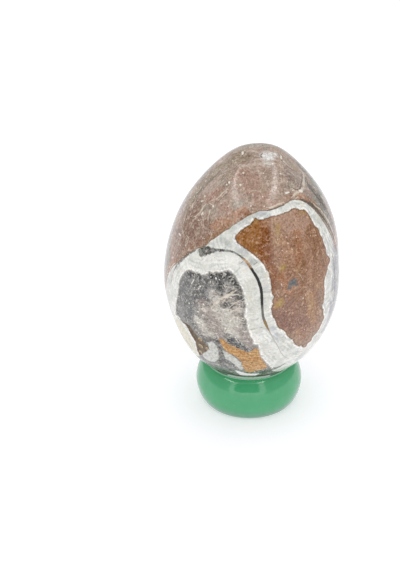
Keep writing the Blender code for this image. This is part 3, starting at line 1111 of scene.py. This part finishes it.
def vein_mask(shader, name):
    """1 on natural lines, which wander a little and fade in and out."""
    wander = shader.sway(shader.noise(0.9, 3, 0.6), 0.5)
    across = shader.add(shader.field(name + "s"), wander)
    breaks = shader.ramp(shader.noise(1.1, 3, 0.6), 0.32, 0.56, 0.25, 1.25)
    width = shader.times(shader.field(name + "_width"), breaks)
    edge = shader.math("SUBTRACT", width, shader.math("ABSOLUTE", across))
    return shader.times(shader.ramp(edge, -0.06, 0.08), shader.ramp(width, 0, 0.06))


def body_colour(shader, edges):
    """The stone's bodies: the matrix, the calcite and what fills the two kinds of chamber."""
    white_mass = edges["white_mass"]
    brown = edges["brown_chamber"]
    grey = edges["grey_chamber"]
    growth = shader.math("MINIMUM", brown, grey)
    calcite = calcite_colour(shader, growth, shader.math("SUBTRACT", grey, brown))
    return shader.layered(
        matrix_colour(shader, white_mass),
        ((120, 100, 84), white_mass, 0.35, 0.08, 0.5),
        (calcite, white_mass, 0.06, -0.1, 1),
        (brown_chamber_colour(shader, shader.times(brown, -1)), brown, 0.06, -0.08, 1),
        (grey_chamber_colour(shader, shader.times(grey, -1)), grey, 0.12, -0.12, 1),
    )


def marked_colour(shader, tint, edges, mottle):
    """The bodies' tint with the larger patches, the crevice and the nodules in it."""
    crevice = shader.wash((88, 76, 62), (134, 116, 96), mottle, 0.35, 0.65)
    cream = shader.wash((202, 196, 172), (226, 222, 206), mottle, 0.35, 0.6)
    white = shader.wash((172, 173, 165), (214, 214, 208), mottle, 0.35, 0.6)
    # painted highlight: whiter towards the bottom of the egg
    white = shader.wash(white, (255, 250, 250), shader.height(), *LOW_PATCH_PAINTED_HIGHLIGHT, 0.9)
    dark = shader.wash((82, 80, 76), (154, 153, 146), mottle, 0.4, 0.62)
    nodule = shader.wash((150, 128, 98), (206, 190, 166), edges["nodules"], -0.3, -0.05)
    return shader.layered(
        tint,
        (crevice, edges["crevice"], 0.08, -0.15, 1),
        (cream, edges["cream_band"], 0.12, -0.2, 1),
        (white, edges["white_patches"], 0.15, -0.25, 1),
        (orange_colour(shader, mottle), edges["orange_patch"], 0.1, -0.15, 1),
        (dark, edges["dark_patches"], 0.15, -0.2, 1),
        (nodule, edges["nodules"], 0.05, -0.06, 1),
    )


def stone_colour(shader, edges, dark_line, seam, seat):
    """The stone's colour, with its lines, flecks and painted glints, and painted seat shade and reflection.
    """
    mottle = shader.noise(1.5, 5, 0.7)
    slate = shader.wash((82, 92, 98), (132, 138, 138), mottle, 0.35, 0.65)
    ochre = shader.wash((152, 124, 74), (198, 170, 116), mottle, 0.35, 0.65)
    return shader.layered(
        marked_colour(shader, body_colour(shader, edges), edges, mottle),
        ((92, 88, 80), shader.times(dark_line, 0.8)),
        ((229, 217, 201), shader.times(vein_mask(shader, "pale_line"), 0.7)),
        (seam_colour(shader), seam),
        (slate, edges["slate_blobs"], 0.2, -0.25, 0.85),
        (ochre, edges["ochre_blobs"], 0.35, -0.4, 0.8),
        # white flecks, some of them painted glints
        ((236, 232, 222), edges["white_flecks_and_painted_glints"], 0.08, -0.1, 1),
        # painted shade and painted green reflection of the ring at the egg's seat
        ((64, 66, 52), seat, *SEAT_PAINTED_SHADE, 0.9),
        ((136, 196, 156), seat, *SEAT_PAINTED_REFLECTION, 0.95),
    )


def stone_material():
    """The polished stone, painted and roughened by its markings' distances."""
    material, shader, surface = new_material("fossil_stone")
    jitter = shader.sway(shader.noise(1.8, 4, 0.6))
    edges = {
        name: shader.add(shader.field(name), shader.times(jitter, raggedness))
        for name, raggedness in RAGGEDNESS.items()
    }
    seat = shader.add(shader.height(), shader.times(jitter, 0.6))
    dark_line = vein_mask(shader, "dark_line")
    seam = seam_mask(shader)
    hollow = shader.ramp(edges["crevice"], 0.08, -0.15, 0, 0.35)
    roughness = shader.ramp(shader.noise(0.7, 4, 0.6), 0.3, 0.75, 0.1, 0.2)
    for rougher in (hollow, shader.times(seam, 0.25), shader.ramp(seat, *DULL_SEAT, 0, 0.5)):
        roughness = shader.add(roughness, rougher)
    relief = shader.noise(2.5, 4, 0.6)
    for mask, depth in ((seam, 1.5), (dark_line, 0.8), (hollow, 4)):
        relief = shader.math("SUBTRACT", relief, shader.times(mask, depth))
    finish = {
        "Base Color": stone_colour(shader, edges, dark_line, seam, seat),
        "Roughness": roughness,
        "IOR": 1.5,
        "Sheen Weight": 0.1,
        "Sheen Roughness": 0.15,
        "Sheen Tint": [0.74, 0.78, 0.74, 1],
        "Normal": fine_relief(shader, relief, STONE_GRAIN),
    }
    shader.feed_all(surface, finish)
    return material


# ------------------------ the other finishes


def plastic_material():
    """Glossy green plastic: a faint ripple, dust, fine scratches, a painted crest highlight, painted foot
    shade.
    """
    material, shader, surface = new_material("green_plastic")
    height = shader.height()
    scratches = shader.noise(1, 4, 0.7, place=shader.stretched((0, 0, 20), (0.4, 3, 6)))
    ripple = shader.add(shader.noise(0.5, 2, 0.5), shader.times(scratches, 0.1))
    tint = shader.layered(
        (88, 169, 122),
        ((93, 173, 127), shader.noise(0.25, 3, 0.5), 0.3, 0.7, 1),
        ((160, 206, 180), shader.times(shader.specks(1.1, 0.12, 0.12), 0.5)),
        # painted highlight along the crest
        ((206, 236, 218), height, *CREST_PAINTED_HIGHLIGHT, 0.9),
        # painted shade at the foot
        ((112, 162, 134), height, *FOOT_PAINTED_SHADE, 0.9),
    )
    finish = {
        "Base Color": tint,
        "Roughness": shader.ramp(scratches, 0.4, 0.75, 0.05, 0.12),
        "IOR": 1.6,
        "Sheen Weight": 0.5,
        "Sheen Roughness": 0.3,
        "Sheen Tint": [0.9, 0.7, 0.95, 1],
        "Normal": fine_relief(shader, ripple, RING_RIPPLE),
    }
    shader.feed_all(surface, finish)
    return material


def table_material():
    """Bright white table that throws light back, so that it shows only a faint shade."""
    material, shader, surface = new_material("white_table")
    grain = shader.noise(0.05, 2, 0.5)
    finish = {
        "Base Color": shader.layered(TABLE_DIM, (TABLE_BRIGHT, grain)),
        "Roughness": shader.ramp(grain, 0.3, 0.7, 0.8, 0.9),
        "Emission Color": [1, 1, 1, 1],
        "Emission Strength": TABLE_GLOW,
        "Normal": fine_relief(shader, grain, TABLE_GRAIN),
    }
    shader.feed_all(surface, finish)
    return material


# ------------------------ the studio

# The table's base colours, as linear light, and what it gives back of its own.
TABLE_DIM = [0.775, 0.765, 0.805, 1]
TABLE_BRIGHT = [0.795, 0.785, 0.825, 1]
TABLE_GLOW = 0.355
TABLE_RADIUS = 0.3
TABLE_SEGMENTS = 96

# Brightness of the light tent's parts, as the gloss mirrors them, and of its soft light.
SOFT_LIGHT = 1
WALL_SHINE = 0.45
PANE_SHINE = 1.6
BACK_SHINE = 1
BACK_RIGHT_SHINE = 0.5
TOP_SHINE = 0.15
RIM_SHINE = 7
OPENING_SHINE = 0.05

# The tent's top, its opening and the lit panes beside that, as the places where a ray from
# the egg meets a plane one unit above it, or one unit in front of it: the middle and half the
# size, each way, and how square the corners are.
TOP_PANEL = ((-0.14, -0.21), (0.72, 0.83), 3.2)
PANES_PANEL = ((-0.12, 0.55), (0.85, 0.62), 8)
OPENING_PANEL = ((-0.1, 0.6), (0.52, 0.5), 8)


def make_table():
    """A flat round table under the ring."""
    bm = bmesh.new()
    bmesh.ops.create_circle(bm, cap_ends=True, segments=TABLE_SEGMENTS, radius=TABLE_RADIUS)
    mesh = bpy.data.meshes.new("table")
    bm.to_mesh(mesh)
    bm.free()
    add_object(mesh, table_material())


def meeting(shader, parts, towards):
    """Where a ray with these parts meets the plane that is one unit away."""
    towards = shader.math("MAXIMUM", towards, LEAST_DIVISOR)
    return [shader.math("DIVIDE", part, towards) for part in parts]


def panel_reach(shader, places, middle, half, corner_power):
    """0 at a panel's middle and 1 at its edge, for a panel with rounded corners."""
    total = 0
    for place, centre, size in zip(places, middle, half):
        away = shader.math("ABSOLUTE", shader.times(shader.add(place, -centre), 1 / size))
        total = shader.add(total, shader.math("POWER", away, corner_power))
    return shader.math("POWER", total, 1 / corner_power)


def make_world():
    """A white light tent, of which only the gloss shows the parts.

    Dim walls, a dim top with a lit rim, lit panes beside an open front, and a white sweep
    low behind, dimmer at the right.
    """
    world = bpy.data.worlds.new("light_tent")
    world.use_nodes = True
    bpy.context.scene.world = world
    shader = Shader(world.node_tree)
    background = world.node_tree.nodes["Background"]
    right, back, up = shader.split(shader.node("ShaderNodeTexCoord").outputs["Generated"])

    dim_share = shader.times(shader.ramp(right, 0.1, 0.3), shader.ramp(up, -0.5, -0.1))
    back_shine = shader.ramp(dim_share, 0, 1, BACK_SHINE, BACK_RIGHT_SHINE)
    back_share = shader.times(shader.ramp(back, 0.5, 0.85), shader.ramp(up, -0.02, -0.12))
    sweep = shader.times(back_share, shader.add(back_shine, -WALL_SHINE))
    on_top = meeting(shader, (right, back), up)
    reach = panel_reach(shader, on_top, *TOP_PANEL)
    top = shader.times(shader.ramp(reach, 1.05, 0.95), TOP_SHINE - WALL_SHINE)
    rim = shader.ramp(shader.math("ABSOLUTE", shader.add(reach, -1)), 0.17, 0.04, 0, RIM_SHINE)
    rim = shader.times(rim, shader.ramp(on_top[1], 0.5, 0.2, 0.4, 1))
    rim = shader.times(rim, shader.ramp(on_top[1], -1, -0.7, 0.12, 1))
    in_front = meeting(shader, (right, up), shader.times(back, -1))
    reach = panel_reach(shader, in_front, *PANES_PANEL)
    panes = shader.ramp(reach, 1.04, 0.96, 0, PANE_SHINE - WALL_SHINE)
    reach = panel_reach(shader, in_front, *OPENING_PANEL)
    opening = shader.ramp(reach, 1.04, 0.96, 0, OPENING_SHINE - PANE_SHINE)
    shine = WALL_SHINE
    for part in (sweep, top, rim, shader.add(panes, opening)):
        shine = shader.add(shine, part)
    shine = shader.math("MAXIMUM", shine, 0)

    mirrored = shader.node("ShaderNodeLightPath").outputs["Is Glossy Ray"]
    extra = shader.times(mirrored, shader.add(shine, -SOFT_LIGHT))
    values = {"Strength": shader.add(extra, SOFT_LIGHT), "Color": [1, 1, 1, 1]}
    shader.feed_all(background, values)


def make_camera():
    """The photograph's viewpoint."""
    camera = bpy.data.cameras.new("camera")
    camera.sensor_width = SENSOR_WIDTH
    camera.lens = FOCAL_PIXELS * SENSOR_WIDTH / FRAME_HEIGHT
    camera.clip_start = CLIP_START
    viewer = bpy.data.objects.new("camera", camera)
    viewer.location = CAMERA_PLACE
    viewer.rotation_euler = (math.pi / 2 - CAMERA_TILT, 0, 0)
    bpy.context.scene.collection.objects.link(viewer)
    bpy.context.scene.camera = viewer


def make_stone():
    """The egg with its markings."""
    mesh = egg_mesh()
    fields = stone_markings(mesh)
    sink_relief(mesh, fields)
    store_fields(mesh, fields)
    store_fields(mesh, shade_fields(mesh))
    stone = add_object(mesh, stone_material())
    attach(stone, "root")
    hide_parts("fossil_egg")


def make_ring():
    """The ring stand."""
    ring = add_object(ring_mesh(), plastic_material())
    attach(ring, "root")
    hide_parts("ring_stand")


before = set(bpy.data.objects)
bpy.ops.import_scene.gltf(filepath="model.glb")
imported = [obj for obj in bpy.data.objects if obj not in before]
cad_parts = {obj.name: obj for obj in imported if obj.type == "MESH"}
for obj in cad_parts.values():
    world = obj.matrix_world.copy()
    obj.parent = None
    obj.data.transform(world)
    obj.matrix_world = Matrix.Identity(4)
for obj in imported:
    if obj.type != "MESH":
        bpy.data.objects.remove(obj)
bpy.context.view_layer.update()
bpy.context.scene.view_settings.view_transform = "Standard"
make_camera()
make_world()
make_table()
make_stone()
make_ring()
